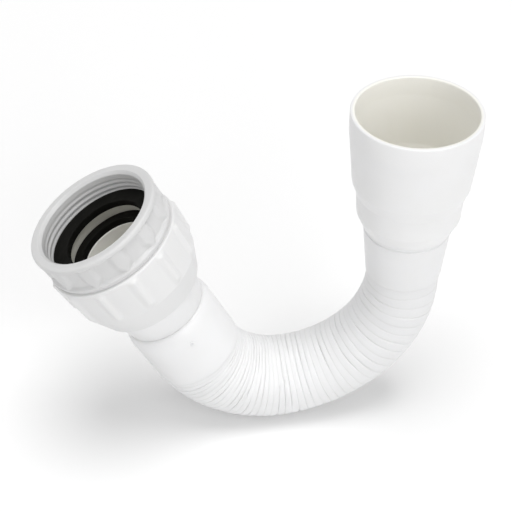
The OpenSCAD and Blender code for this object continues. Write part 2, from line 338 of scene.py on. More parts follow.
def mixColours(tree, factor, a, b):
    node = addNode(tree, "ShaderNodeMix", data_type="RGBA")
    for socket, value in zip((node.inputs[0], node.inputs[6], node.inputs[7]), (factor, a, b)):
        if isinstance(value, bpy.types.NodeSocket):
            tree.links.new(value, socket)
        else:
            socket.default_value = value
    return node.outputs[2]


# scales of the noises that all finishes share, and how much they tell
skinLooks = {"smudgeScale": 220.0, "smudgeHeight": 0.6, "patchScale": 90.0, "leastPatch": 0.4}


def makeMouldedGroup():
    # the skin of a moulded part: cloudy colour, uneven gloss, and a fine grain
    group, source, result = newGroup(
        "mouldedSkin",
        [("Colour", "NodeSocketColor", (0.8, 0.8, 0.8, 1)),
         ("Cloud", "NodeSocketColor", (0.75, 0.75, 0.75, 1)),
         ("Cloud Size", "NodeSocketFloat", 60.0), ("Grain Size", "NodeSocketFloat", 1500.0),
         ("Least Roughness", "NodeSocketFloat", 0.3), ("Most Roughness", "NodeSocketFloat", 0.4)],
        [("Colour", "NodeSocketColor"), ("Roughness", "NodeSocketFloat"), ("Height", "NodeSocketFloat")],
    )
    place = addNode(group, "ShaderNodeTexCoord").outputs["Object"]
    cloud = noiseNode(group, place, source.outputs["Cloud Size"], 4.0)
    grain = noiseNode(group, place, source.outputs["Grain Size"], 2.0)
    cloudy = rangeNode(group, cloud, 0.0, 1.0)
    colour = mixColours(group, cloudy, source.outputs["Colour"], source.outputs["Cloud"])
    smudge = noiseNode(group, place, skinLooks["smudgeScale"], 5.0)
    rough = rangeNode(group, smudge, source.outputs["Least Roughness"], source.outputs["Most Roughness"])
    height = mathNode(group, "ADD", grain, mathNode(group, "MULTIPLY", smudge, skinLooks["smudgeHeight"]))
    group.links.new(colour, result.inputs["Colour"])
    group.links.new(rough, result.inputs["Roughness"])
    group.links.new(height, result.inputs["Height"])
    return group


def makeShadeGroup():
    # painted shade in recesses, such as the feet of pleats and threads, in gaps and deep in bores, made
    # patchy by a noise; inside walls get a warmer tone and painted light that makes them lighter
    group, source, result = newGroup(
        "paintedShadeAndInsideLight",
        [("Colour", "NodeSocketColor", (0.8, 0.8, 0.8, 1)),
         ("Shade Colour", "NodeSocketColor", (0.5, 0.5, 0.5, 1)),
         ("Inside", "NodeSocketColor", (0.8, 0.79, 0.74, 1)), ("Shade Strength", "NodeSocketFloat", 0.5)],
        [("Colour", "NodeSocketColor")],
    )
    shadeAmount = addNode(group, "ShaderNodeAttribute", attribute_name="shadeAmount").outputs["Fac"]
    inner = addNode(group, "ShaderNodeAttribute", attribute_name="inner").outputs["Fac"]
    place = addNode(group, "ShaderNodeTexCoord").outputs["Object"]
    patch = rangeNode(group, noiseNode(group, place, skinLooks["patchScale"]), skinLooks["leastPatch"], 1.0)
    # painted shade: the amount at each point, made patchy by a noise, mixes the colour towards the shade
    # colour
    patchy = mathNode(group, "MULTIPLY", shadeAmount, patch)
    paintedShade = mathNode(group, "MULTIPLY", patchy, source.outputs["Shade Strength"])
    # inside walls get their own colour: a warmer tone, made lighter by painted light
    litInsides = mixColours(group, inner, source.outputs["Colour"], source.outputs["Inside"])
    group.links.new(mixColours(group, paintedShade, litInsides, source.outputs["Shade Colour"]), result.inputs["Colour"])
    return group


mouldedGroup = makeMouldedGroup()
shadeGroup = makeShadeGroup()

# how far light seeps through the plastics: red, green and blue beside each other, and the reach in metres
seepLooks = {"radius": (1.0, 0.98, 0.92), "scale": 0.004}


def makeFinish(name, looks):
    material = bpy.data.materials.new(name)
    material.use_nodes = True
    tree = material.node_tree
    shader = tree.nodes["Principled BSDF"]
    skin = addNode(tree, "ShaderNodeGroup", node_tree=mouldedGroup)
    skin.inputs["Colour"].default_value = (*looks["colour"], 1)
    skin.inputs["Cloud"].default_value = (*looks["cloud"], 1)
    skin.inputs["Cloud Size"].default_value = looks["cloudSize"]
    skin.inputs["Grain Size"].default_value = looks["grainSize"]
    skin.inputs["Least Roughness"].default_value = looks["roughness"][0]
    skin.inputs["Most Roughness"].default_value = looks["roughness"][1]
    # painted shade in recesses and gaps, and painted light that makes inside walls lighter, mixed into the
    # base colour
    paintedShading = addNode(tree, "ShaderNodeGroup", node_tree=shadeGroup)
    paintedShading.inputs["Shade Colour"].default_value = (*looks["paintedShade"], 1)
    paintedShading.inputs["Inside"].default_value = (*looks["inside"], 1)
    paintedShading.inputs["Shade Strength"].default_value = looks["shadeStrength"]
    tree.links.new(skin.outputs["Colour"], paintedShading.inputs["Colour"])
    tree.links.new(paintedShading.outputs["Colour"], shader.inputs["Base Color"])
    tree.links.new(skin.outputs["Roughness"], shader.inputs["Roughness"])
    bump = addNode(tree, "ShaderNodeBump")
    bump.inputs["Strength"].default_value = looks["bump"]
    bump.inputs["Distance"].default_value = looks["bumpDepth"]
    tree.links.new(skin.outputs["Height"], bump.inputs["Height"])
    tree.links.new(bump.outputs["Normal"], shader.inputs["Normal"])
    shader.inputs["IOR"].default_value = looks["ior"]
    shader.inputs["Specular IOR Level"].default_value = looks["specular"]
    shader.inputs["Subsurface Weight"].default_value = looks["glow"]
    shader.inputs["Subsurface Radius"].default_value = seepLooks["radius"]
    shader.inputs["Subsurface Scale"].default_value = seepLooks["scale"]
    return material


# in each finish, one colour is that of the painted shade in recesses and gaps, and one that of inside walls,
# a warmer tone made lighter by painted light
whitePlastic = makeFinish("whitePlastic", {
    "colour": (0.88, 0.88, 0.885), "cloud": (0.86, 0.86, 0.86), "cloudSize": 70.0, "grainSize": 1600.0,
    "roughness": (0.30, 0.42), "paintedShade": (0.58, 0.57, 0.54), "inside": (0.945, 0.93, 0.87), "shadeStrength": 0.35,
    "bump": 0.12, "bumpDepth": 0.0001, "ior": 1.49, "specular": 0.5, "glow": 0.3,
})
nutPlastic = makeFinish("nutPlastic", {
    "colour": (0.80, 0.80, 0.80), "cloud": (0.785, 0.785, 0.785), "cloudSize": 55.0, "grainSize": 1600.0,
    "roughness": (0.32, 0.44), "paintedShade": (0.58, 0.57, 0.54), "inside": (0.85, 0.84, 0.78), "shadeStrength": 0.35,
    "bump": 0.13, "bumpDepth": 0.0001, "ior": 1.49, "specular": 0.45, "glow": 0.2,
})
ringPlastic = makeFinish("ringPlastic", {
    "colour": (0.65, 0.65, 0.65), "cloud": (0.68, 0.68, 0.68), "cloudSize": 60.0, "grainSize": 1600.0,
    "roughness": (0.34, 0.46), "paintedShade": (0.50, 0.495, 0.47), "inside": (0.66, 0.65, 0.58), "shadeStrength": 0.35,
    "bump": 0.14, "bumpDepth": 0.0001, "ior": 1.49, "specular": 0.45, "glow": 0.15,
})
hosePlastic = makeFinish("hosePlastic", {
    "colour": (0.865, 0.865, 0.87), "cloud": (0.85, 0.85, 0.85), "cloudSize": 45.0, "grainSize": 1100.0,
    "roughness": (0.36, 0.50), "paintedShade": (0.55, 0.54, 0.51), "inside": (0.90, 0.885, 0.83), "shadeStrength": 0.4,
    "bump": 0.18, "bumpDepth": 0.00015, "ior": 1.49, "specular": 0.45, "glow": 0.2,
})
blackRubber = makeFinish("blackRubber", {
    "colour": (0.004, 0.004, 0.0032), "cloud": (0.007, 0.0068, 0.0058), "cloudSize": 130.0,
    "grainSize": 2600.0, "roughness": (0.55, 0.72),
    "paintedShade": (0.02, 0.02, 0.018), "inside": (0.01, 0.01, 0.009), "shadeStrength": 0.3,
    "bump": 0.35, "bumpDepth": 0.0001, "ior": 1.52, "specular": 0.06, "glow": 0,
})
naturalPlastic = makeFinish("naturalPlastic", {
    "colour": (0.72, 0.70, 0.62), "cloud": (0.66, 0.64, 0.56), "cloudSize": 80.0, "grainSize": 1500.0,
    "roughness": (0.42, 0.55), "paintedShade": (0.5, 0.48, 0.42), "inside": (0.7, 0.68, 0.6), "shadeStrength": 0.3,
    "bump": 0.15, "bumpDepth": 0.0001, "ior": 1.5, "specular": 0.4, "glow": 0.3,
})
print("finishes made")

# the sizes of all turned pieces are mm, in a frame of their own for each end; depths and heights are local z
inletMatrix = inletPlace()
outletMatrix = outletPlace()

thread = {
    "pitch": 2.309, "insideCrest": 22.62, "insideRoot": 23.02, "outsideCrest": 23.4, "outsideRoot": 22.4,
    "nutCrest": 23.75, "nutRoot": 24.7,
}


def threadWave(angle, depth):
    # 0 at the foot of a right-handed thread, 1 at its crest
    turn = (depth / thread["pitch"] - angle / (2 * math.pi)) % 1
    t = abs(2 * turn - 1)
    return 0.35 * t + 0.65 * smoothStep(0.12, 0.88, t)


def turnedPiece(name, corners, steps, material, body, node, shape=None, dense=()):
    # dense are (low, high, step), for the parts of the outline that need points for the shape to move
    points = softOutline(corners)
    for low, high, step in dense:
        points = refineOutline(points, low, high, step)
    bm = spinOutline(points, steps)
    if shape:
        moveRound(bm, shape)
        bmesh.ops.recalc_face_normals(bm, faces=bm.faces)
    bm.transform(outletMatrix if body == "outlet" else inletMatrix)
    piece = addPiece(name, bm, material, body)
    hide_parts(node)
    return piece


def refineOutline(points, low, high, step):
    # splits the straights that lie in a box from low to high, both (radius, height)
    slack = 0.01
    result = []
    for k, p in enumerate(points):
        q = points[(k + 1) % len(points)]
        result.append(p)
        rightRadius = all(low[0] <= e.x <= high[0] for e in (p, q))
        rightHeight = all(low[1] - slack <= e.y <= high[1] + slack for e in (p, q))
        if rightRadius and rightHeight and (q - p).length > step:
            result.extend(denseLine(p, q, step)[1:])
    return result


def nowhere(r, a, z):
    return 0.0


def markShadeAndInsides(piece, matrix, shadeAmount, inner):
    # how much painted shade each vertex gets, and where the wall is an inside one, which gets painted light,
    # worked out from radius, angle and height
    back = matrix.inverted()
    paintedShading, inners = [], []
    for v in piece.data.vertices:
        p = back @ v.co
        r, a, z = math.hypot(p.x, p.y) / mm, math.atan2(p.y, p.x), p.z / mm
        paintedShading.append(shadeAmount(r, a, z))
        inners.append(inner(r, a, z))
    setValues(piece, "shadeAmount", paintedShading)
    setValues(piece, "inner", inners)


mouthRing = {
    "rim": 27.2, "side": 25.6, "bead": 26.9, "rimHeight": 2.2, "beadHeight": 1.4, "slope": 0.8,
    "length": 13.6, "flareRadius": 23.8, "flareEnd": 1.2, "entry": 22.7, "threadEnd": 9.5, "recess": 23.2,
    "shelf": 12.5, "throat": 18.0, "seat": 17.0, "socket": 21.5, "end": 24.0, "endRadius": 23.0,
    "chamfer": 0.9,
    "lugs": 12, "lugTurn": 12.0, "lugWidth": 6.6, "lugHeight": 1.2, "lugPoint": 3.5,
    "lugSoftness": (1.6, 0.9),
}


def lugShape(angle, depth):
    # a shield: straight sides, a flat top and a point below
    m = mouthRing
    spacing = 2 * math.pi / m["lugs"]
    offset = (angle - math.radians(m["lugTurn"]) + spacing / 2) % spacing - spacing / 2
    across = abs(offset) * m["side"]
    bottom = m["length"] - m["beadHeight"] - 0.2
    half = m["lugWidth"] / 2 * (1 - 0.5 * smoothStep(bottom - m["lugPoint"], bottom, depth))
    side = 1 - smoothStep(half - m["lugSoftness"][0], half + m["lugSoftness"][1], across)
    top = smoothStep(m["rimHeight"] - 0.2, m["rimHeight"] + 0.8, depth)
    return side * top * (1 - smoothStep(bottom, bottom + 1, depth))


def makeMouthRing():
    m, t = mouthRing, thread
    corners = [
        (m["flareRadius"], 0, 0.5), (m["entry"], m["flareEnd"], 0.6), (m["entry"], m["threadEnd"], 0.0),
        (m["recess"], m["threadEnd"] + 0.3, 0.1), (m["recess"], m["shelf"], 0.2),
        (m["throat"], m["shelf"], 0.4), (m["throat"], m["seat"], 0.3),
        (m["socket"], m["seat"], 0.2), (m["socket"], m["end"], 0.3), (m["endRadius"], m["end"], 0.4),
        (t["outsideCrest"], m["end"] - m["chamfer"], 0.3), (t["outsideCrest"], m["length"], 0.4),
        (m["bead"], m["length"], 0.7), (m["bead"], m["length"] - m["beadHeight"], 0.5),
        (m["side"], m["length"] - m["beadHeight"] - m["slope"], 0.5),
        (m["side"], m["rimHeight"] + m["slope"], 0.5), (m["rim"], m["rimHeight"], 0.7), (m["rim"], 0, 1.1),
    ]

    def shape(r, a, z):
        onInsideThread = 22.0 < r < 23.0 and 0.9 < z < m["threadEnd"] + 0.05
        onOutsideThread = 23.3 < r < 23.5 and m["length"] + 1.2 < z < m["end"] - 0.8
        onSide = m["side"] - 0.1 < r < m["rim"] and 1.5 < z < m["length"]
        if onInsideThread:
            # the thread starts a little way in, and is cut deeper as it goes
            fade = smoothStep(1.8, 6.0, z) * (1 - smoothStep(m["threadEnd"] - 0.5, m["threadEnd"], z))
            cut = t["insideRoot"] + (t["insideCrest"] - t["insideRoot"]) * threadWave(a, z)
            return r + (cut - r) * fade
        if onOutsideThread:
            fade = smoothStep(m["length"] + 1.2, m["length"] + 2.4, z)
            cut = t["outsideRoot"] + (t["outsideCrest"] - t["outsideRoot"]) * threadWave(a, z)
            return r + (cut - r) * fade
        if onSide:
            return max(r, m["side"] + m["lugHeight"] * lugShape(a, z))
        return r

    # inside thread, outside thread and recessed side
    dense = [((22.0, 0.9), (23.2, 9.6), 0.17), ((23.2, 14.0), (23.6, 23.2), 0.2),
             ((25.5, 2.9), (25.7, 11.6), 0.4)]
    piece = turnedPiece("mouthRing", corners, 300, ringPlastic, "inlet", "inlet_adapter",
                        shape, dense)

    # painted shade: darker deeper into the mouth and its thread, at the feet of the lugs, and strong on the
    # ring's lower face and outer thread in the gap to the nut
    def shadeAmount(r, a, z):
        if r < 23.8 and z < m["shelf"]:
            return 0.15 + 0.35 * smoothStep(1.5, m["threadEnd"], z)
        if r > 25.4 and m["rimHeight"] < z < m["length"] - m["beadHeight"]:
            return 0.15 * smoothStep(0.0, 0.1, lugShape(a, z)) * (1 - smoothStep(0.1, 0.4, lugShape(a, z)))
        return 0.6 if z > m["length"] - 0.3 and r > 23 else 0.0

    # the throat's wall gets the inside walls' painted light
    markShadeAndInsides(piece, inletMatrix, shadeAmount, lambda r, a, z: smoothStep(20.0, 19.0, r))


washers = {
    "thickness": 3.0, "seatOuter": 22.9, "seatHole": 16.5, "seatDepth": 9.5,
    "unionOuter": 21.2, "unionHole": 14.4, "unionDepth": 17.0, "edge": 0.35,
    "sag": 0.12, "sagWaves": 1.4,  # how much the upper face waves up and down, mm
    "holeShift": 0.004, "holeWaves": 2.2,  # how much the hole strays from round, as a share of its radius
    "faceStep": 0.8,
}


def makeWasher(name, outer, hole, depth, body, node):
    w = washers
    top, low = depth, depth + w["thickness"]
    corners = ((hole, top), (outer, top), (outer, low), (hole, low))
    outline = softOutline([(r, z, w["edge"]) for r, z in corners])
    points = []
    for p, q in zip(outline, outline[1:] + outline[:1]):
        points.extend(denseLine(p, q, w["faceStep"]) if (q - p).length > 2 * w["faceStep"] else [p])
    bm = spinOutline(points, 160)
    for v in bm.verts:
        # punched rubber is never quite flat or round
        a, r = math.atan2(v.co.y, v.co.x), math.hypot(v.co.x, v.co.y) / mm
        inward = smoothStep(outer, hole, r) if r < outer else 0.0
        wave = roundNoise(a, w["sagWaves"], depth)
        v.co.z += w["sag"] * inward * wave * mm if v.co.z / mm < (top + low) / 2 else 0.0
        stretch = 1 - w["holeShift"] * inward * roundNoise(a, w["holeWaves"], 3 + depth)
        v.co.x *= stretch
        v.co.y *= stretch
    bm.transform(inletMatrix)
    piece = addPiece(name, bm, blackRubber, body)
    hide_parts(node)
    # painted shade towards the washer's outer edge
    markShadeAndInsides(piece, inletMatrix, lambda r, a, z: 0.5 * smoothStep(outer - 1.2, outer, r), nowhere)
    return piece


unionNut = {
    "top": 27.6, "grip": 26.6, "low": 22.2, "start": 14.6, "gripEnd": 32.6, "end": 43.6,
    "lipTop": 29.6, "lipEnd": 34.2, "lipRadius": 16.4, "skirtTop": 23.4, "skirtLow": 19.6,
    "ribs": 12, "ribTurn": 15.0, "ribWidth": 3.2, "ribSoftness": 1.3, "ribHeight": 1.15, "ribRadius": 27,
    "face": 0.8, "faceRadius": 26.0,  # a low face that all but closes the gap to the ring
    "threadStart": 1.2,  # under the nut's start
}


def ribShape(angle, depth):
    # 1 along the middle of a rib, 0 beside it
    n = unionNut
    spacing = 2 * math.pi / n["ribs"]
    offset = (angle - math.radians(n["ribTurn"]) + spacing / 2) % spacing - spacing / 2
    across = abs(offset) * n["ribRadius"]
    rise = smoothStep(n["start"] + 0.5, n["start"] + 2.2, depth)
    run = rise * (1 - smoothStep(n["gripEnd"] - 3.0, n["gripEnd"] - 0.4, depth))
    return (1 - smoothStep(0.0, n["ribWidth"] / 2 + n["ribSoftness"], across)) * run


def makeNut():
    n, t = unionNut, thread
    crest, threadStart = t["nutCrest"] + 0.02, n["start"] + n["threadStart"]
    corners = [
        (t["nutRoot"], n["start"] - n["face"], 0.2), (crest, threadStart, 0.2),
        (crest, n["lipTop"], 0.2), (n["lipRadius"], n["lipTop"], 0.3),
        (n["lipRadius"], n["lipEnd"], 0.3), (n["skirtTop"], n["lipEnd"], 0.5), (n["skirtLow"], n["end"], 0.3),
        (n["low"], n["end"], 1.0), (n["grip"], n["gripEnd"], 2.2), (n["top"], n["start"], 1.0),
        (n["faceRadius"], n["start"], 0.2), (n["faceRadius"], n["start"] - n["face"], 0.2),
    ]

    def shape(r, a, z):
        side = n["top"] + (n["grip"] - n["top"]) * (z - n["start"]) / (n["gripEnd"] - n["start"])
        onGrip = r > side - 1.2 and z < n["gripEnd"] + 0.1
        onThread = 23.6 < r < 23.85 and threadStart < z < n["lipTop"] - 0.4
        if onGrip:
            return r + n["ribHeight"] * ribShape(a, z)
        if onThread:
            end = 1 - smoothStep(n["lipTop"] - 2, n["lipTop"] - 1, z)
            fade = smoothStep(threadStart, n["start"] + 2.4, z) * end
            return r + (t["nutRoot"] - r) * fade * threadWave(a + math.pi, z)
        return r

    # grip and thread
    dense = [((26.4, 15.2), (27.7, 32.4), 0.5), ((23.7, 15.7), (23.8, 29.2), 0.25)]
    piece = turnedPiece("unionNut", corners, 300, nutPlastic, "nut", "union_nut",
                        shape, dense)

    # painted shade on the nut's top face at the gap to the ring, at the feet of its ribs, and a little on
    # every face nearer the axis; the inside of the grip gets the inside walls' painted light
    def shadeAmount(r, a, z):
        if z < n["start"] + 0.4:
            return 0.15
        rib = ribShape(a, z)
        return 0.15 * smoothStep(0.0, 0.1, rib) * (1 - smoothStep(0.1, 0.35, rib)) if r > 25 else 0.1

    markShadeAndInsides(piece, inletMatrix, shadeAmount, lambda r, a, z: 1.0 if r < 24.9 and z < n["gripEnd"] else 0.0)


tailParts = {
    "tube": 16.0, "bore": 14.1, "flange": 21.2, "flangeTop": 20.0, "flangeEnd": 28.2, "tubeEnd": 80.5,
    "fit": 16.1, "coneTop": 20.0, "coneLow": 17.3, "coneStart": 44.1, "coneEnd": 56.0, "collar": 19.1,
    "collarStart": 17.4, "shoulderEnd": 61.5, "shoulderSteps": 6, "collarEnd": 83.5, "webBore": 13.7,
    "coneBow": 0.25,
}


def makeTail():
    p = tailParts
    tube = turnedPiece("tailTube", [
        (p["bore"], p["flangeTop"], 0.4), (p["flange"], p["flangeTop"], 0.4),
        (p["flange"], p["flangeEnd"], 0.3), (p["tube"], p["flangeEnd"], 0.3),
        (p["tube"], p["tubeEnd"], 0.2), (p["bore"], p["tubeEnd"], 0.2),
    ], 144, whitePlastic, "tail", "flanged_tail")
    # painted shade, darker towards the tube's end inside the collar; its bore gets the inside walls' painted
    # light
    markShadeAndInsides(tube, inletMatrix, lambda r, a, z: 0.3 * smoothStep(60, 79, z),
                lambda r, a, z: 1.0 if r < 15 else 0.0)

    def coneBow(r, a, z):
        # a moulded cone is never dead straight: it draws in a little between its ends
        t = (z - p["coneStart"]) / (p["coneEnd"] - p["coneStart"])
        return r - p["coneBow"] * math.sin(math.pi * min(max(t, 0), 1)) if r > 16.9 else r

    cone = turnedPiece("coneSleeve", [
        (p["fit"], p["coneStart"], 0.2), (p["coneTop"], p["coneStart"], 0.5),
        (p["coneLow"], p["coneEnd"], 0.1), (p["fit"], p["coneEnd"], 0.1),
    ], 240, whitePlastic, "tail", "cone_sleeve", coneBow,
        [((17.2, 44.8), (20.1, 56.0), 0.8)])
    # painted shade on the cone's lower end, at the step to the collar
    markShadeAndInsides(cone, inletMatrix, lambda r, a, z: 0.4 * smoothStep(55.2, 56.0, z), nowhere)

    rise, drop = p["collar"] - p["collarStart"], p["shoulderEnd"] - p["coneEnd"]
    shoulder = []
    for k in range(p["shoulderSteps"] + 1):
        turn = k * math.pi / (2 * p["shoulderSteps"])
        radius, depth = p["collarStart"] + rise * math.sin(turn), p["shoulderEnd"] - drop * math.cos(turn)
        shoulder.append((radius, depth, 0.0))
    collar = turnedPiece("inletCollar", [
        (p["fit"], p["coneEnd"], 0.1), *shoulder, (p["collar"] - 0.15, p["collarEnd"], 0.7),
        (p["webBore"], p["collarEnd"], 0.4), (p["webBore"], p["tubeEnd"], 0.3), (p["fit"], p["tubeEnd"], 0.1),
    ], 240, whitePlastic, "tail", "inlet_cuff")
    # painted shade at the collar's top under the cone and at its end where the hose meets it; its bore gets
    # the inside walls' painted light
    markShadeAndInsides(collar, inletMatrix,
                lambda r, a, z: 0.35 * smoothStep(83.0, 83.5, z) + 0.3 * smoothStep(57.0, 56.0, z),
                lambda r, a, z: 1.0 if r < 15.5 else 0.0)
    return cone, collar


makeMouthRing()
seatWasher = makeWasher("seatWasher", washers["seatOuter"], washers["seatHole"], washers["seatDepth"],
                        "inlet", "inlet_washer")
makeWasher("unionWasher", washers["unionOuter"], washers["unionHole"], washers["unionDepth"],
           "carriage", "union_washer")
makeNut()
conePiece, collarPiece = makeTail()
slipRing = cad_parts["slip_ring"]
slipRing.data.materials.clear()
slipRing.data.materials.append(naturalPlastic)
print("inlet made")

outletParts = {
    "collarLow": 15.15, "collarTop": 17.25, "collarHeight": 22.0, "web": 3.0, "hoseBore": 11.95,
    "neck": 13.75, "neckBore": 12.15, "groove": 17.05, "step3": 23.5, "bevel": 0.45, "step2": 30.0,
    "step1": 45.0, "land": 68.0, "rim": 76.0, "wall": 1.8, "shoulder": 5.5,
    "radii": (25.0, 22.9, 20.9, 20.45, 18.0, 17.55),  # top and foot of each step, from the rim down
}


def makeOutlet():
    o = outletParts
    r1, r1Low, r2, r2Low, r3, r3Low = o["radii"]
    w, h = o["wall"], o["shoulder"]
    collar = turnedPiece("outletCollar", [
        (o["hoseBore"], 0, 0.2), (o["collarLow"], 0, 0.5), (o["collarTop"], o["collarHeight"], 0.9),
        (o["neck"] + 0.1, o["collarHeight"], 0.2), (o["neck"] + 0.1, o["web"], 0.1),
        (o["hoseBore"], o["web"], 0.3),
    ], 200, whitePlastic, "outlet", "outlet_cuff")
    # painted shade at the collar's foot, where the hose meets it; its bore gets the inside walls' painted
    # light
    markShadeAndInsides(collar, outletMatrix, lambda r, a, z: 0.4 * smoothStep(0.8, 0.0, z),
                lambda r, a, z: 1.0 if r < 13 else 0.0)
    neckEnd = o["web"] + 0.1
    corners = [
        (r1, o["rim"], 0.55), (r1, o["land"], 9.0), (r1Low, o["step1"], 3.2), (r2, o["step1"] - h, 1.6),
        (r2Low, o["step2"], 3.0), (r3, o["step2"] - h, 0.6), (r3Low, o["step3"] + o["bevel"], 0.5),
        (r3Low - o["bevel"], o["step3"], 0.1), (o["groove"], o["collarHeight"] + 0.05, 0.15),
        (o["neck"], o["collarHeight"] + 0.05, 0.1), (o["neck"], neckEnd, 0.3), (o["neckBore"], neckEnd, 0.3),
        (o["neckBore"], o["step3"] + w / 2, 0.4), (r3Low - w, o["step3"] + w, 0.5),
        (r3 - w, o["step2"] - h + w, 1.4), (r2Low - w, o["step2"] + w, 3.0),
        (r2 - w, o["step1"] - h + w, 1.6), (r1Low - w, o["step1"] + w, 3.2),
        (r1 - w, o["land"], 9.0), (r1 - w, o["rim"], 0.55),
    ]
    spigot = turnedPiece("outletSpigot", corners, 240, whitePlastic, "outlet", "outlet_spigot")

    def outside(z):
        # radius of the outer wall, straight from corner to corner
        steps = [(o["step3"], r3Low), (o["step2"] - h, r3), (o["step2"], r2Low), (o["step1"] - h, r2),
                 (o["step1"], r1Low), (o["land"], r1), (o["rim"], r1)]
        for (lowZ, lowR), (highZ, highR) in zip(steps, steps[1:]):
            if z <= highZ:
                return lowR + (highR - lowR) * max(0.0, z - lowZ) / (highZ - lowZ)
        return r1

    # where the spigot's inside walls are, which get painted light that makes them lighter
    def inner(r, a, z):
        if z < o["step3"] + 1:
            return 1.0 if r < o["neckBore"] + 0.3 else 0.0
        return smoothStep(outside(z) - 0.75, outside(z) - 1.1, r)

    markShadeAndInsides(spigot, outletMatrix, nowhere, inner)


makeOutlet()
print("outlet made")

hoseLooks = {
    "sides": 120,
    "calmEnd": 5.0,  # how far from each end the wall is still even, mm
    "crown": 0.09,  # how much each pleat bulges between its creases, mm
    "creaseIn": 0.8, "creaseOut": 0.5,  # depth of the deepest creases at each end of the hose, mm
    "creaseWidth": 0.15,  # mm
    "creaseWidens": 0.9,  # how much wider creases are at the outlet, as a share
    "creaseShade": 0.6, "shadeReach": 0.1,  # painted shade in the creases, and how much of a pleat it covers
    "wander": 0.42,  # how far a crease strays along the hose, mm
    "dent": 0.34, "ripple": 0.08,  # low lumps and finer ones in the wall, mm
    "uneven": 0.12,  # how much pleats differ in height, as when a hose is pushed together by hand, mm
    "steps": (0.0, 0.04, 0.085, 0.15, 0.26, 0.42, 0.58, 0.74, 0.85, 0.915, 0.96),  # rings within one pleat
    "insideSteps": (0.0, 0.25, 0.5, 0.75),
}


def hoseEnds(s):
    # 0 at both ends of the hose, 1 a little way in
    calm = hoseLooks["calmEnd"]
    return smoothStep(0.0, calm, s) * (1 - smoothStep(hoseLength - calm, hoseLength, s))


def creaseDepth(s, a):
    # some creases are pressed shut for part of their way round, and some are hardly there
    h = hoseLooks
    number = round(pleatPhase(s))
    along = smoothStep(-0.35, 0.45, roundNoise(a, 1.3, number * 0.83 + 7))
    each = smoothStep(-0.5, 0.6, noise.noise(Vector((number * 2.7, 3.3, 8.1))))
    return alongHose(h["creaseIn"], h["creaseOut"], s) * (0.12 + 0.88 * along) * (0.25 + 0.75 * each)


def hoseRadius(s, a):
    h = hoseLooks
    crest = alongHose(hoseLine["crestIn"], hoseLine["crestOut"], s)
    phase = pleatPhase(s) % 1
    pitch = runPitch(min(int(pleatPhase(s) / hoseLine["pleatsPerRun"]), hoseLine["runs"] - 1))
    away = min(phase, 1 - phase) * pitch  # mm from the nearest crease
    width = h["creaseWidth"] * (1 + h["creaseWidens"] * s / hoseLength)
    crease = creaseDepth(s, a) * math.exp(-((away / width) ** 2) * 0.8)
    r = crest - h["crown"] * (2 * abs(phase - 0.5)) ** 2 - crease
    lump = roundNoise(a, 0.9, s * 0.035 + 20)
    ripple = roundNoise(a, 2.6, s * 0.3 + 40)
    pleat = noise.noise(Vector((round(pleatPhase(s)) * 3.1, math.cos(a) * 0.8, math.sin(a) * 0.8)))
    return r + hoseEnds(s) * (h["dent"] * lump + h["ripple"] * ripple + h["uneven"] * pleat)


def hosePoint(s, a, r):
    # angle 0 is on the inside of the U
    place = s + hoseLooks["wander"] * hoseEnds(s) * roundNoise(a, 1.2, s * 0.07)
    turn = hoseHeading(place)
    up = Vector((-math.sin(turn), 0, math.cos(turn)))
    return hoseCentre(place) + (up * math.cos(a) + Vector((0, 1, 0)) * math.sin(a)) * r * mm


def ringStations(first, last, steps):
    # places along the hose from one crease to another, by the steps within each pleat
    stations = []
    for i in range(hoseLine["runs"]):
        for k in range(hoseLine["pleatsPerRun"]):
            for step in steps:
                s = runStarts[i] + (k + step) * runPitch(i)
                if first - 1e-6 <= s < last - 1e-6:
                    stations.append(s)
    return stations + [last]


def addRing(bm, s, inset):
    sides = hoseLooks["sides"]
    made = bmesh.ops.create_circle(bm, cap_ends=False, radius=0.01, segments=sides)["verts"]
    for j, v in enumerate(made):
        a = 2 * math.pi * j / sides
        v.co = hosePoint(s, a, hoseRadius(s, a) - inset)
    return made


def hoseWall(s):
    return alongHose(hoseLine["wallIn"], hoseLine["wallOut"], s)


# painted shade at the creases between pleats, fading over a share of each pleat
def creaseShade(s):
    phase = pleatPhase(s) % 1
    return hoseLooks["creaseShade"] * max(0.0, 1 - min(phase, 1 - phase) / hoseLooks["shadeReach"])


def makeHosePart(name, first, last, nodes):
    # a ring of vertices at each place along the hose, outside and inside, bridged to a closed skin
    bm = bmesh.new()
    # layers: place along the hose, painted shade in the creases, and whether a vertex is on the inside wall,
    # which gets painted light
    place = bm.verts.layers.float.new("alongHose")
    depth = bm.verts.layers.float.new("shadeAmount")
    inside = bm.verts.layers.float.new("inner")
    chains = []
    for steps, isInner in ((hoseLooks["steps"], False), (hoseLooks["insideSteps"], True)):
        rings = []
        for s in ringStations(first, last, steps):
            ring = addRing(bm, s, hoseWall(s) if isInner else 0.0)
            for v in ring:
                v[place] = s
                v[inside] = 1.0 if isInner else 0.0
                v[depth] = 0.0 if isInner else creaseShade(s)
            rings.append(ring)
        chains.append(rings)
    loops = {}
    for rings in chains:
        for ring in rings:
            loops[id(ring)] = list({e for v in ring for e in v.link_edges})
    for rings in chains:
        for a, b in zip(rings, rings[1:]):
            bmesh.ops.bridge_loops(bm, edges=loops[id(a)] + loops[id(b)])
    outer, inner = chains
    for end in (0, -1):
        bmesh.ops.bridge_loops(bm, edges=loops[id(outer[end])] + loops[id(inner[end])])
    bmesh.ops.recalc_face_normals(bm, faces=bm.faces)
    piece = addPiece(name, bm, hosePlastic, smoothAngle=60)
    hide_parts(*nodes)
    return piece


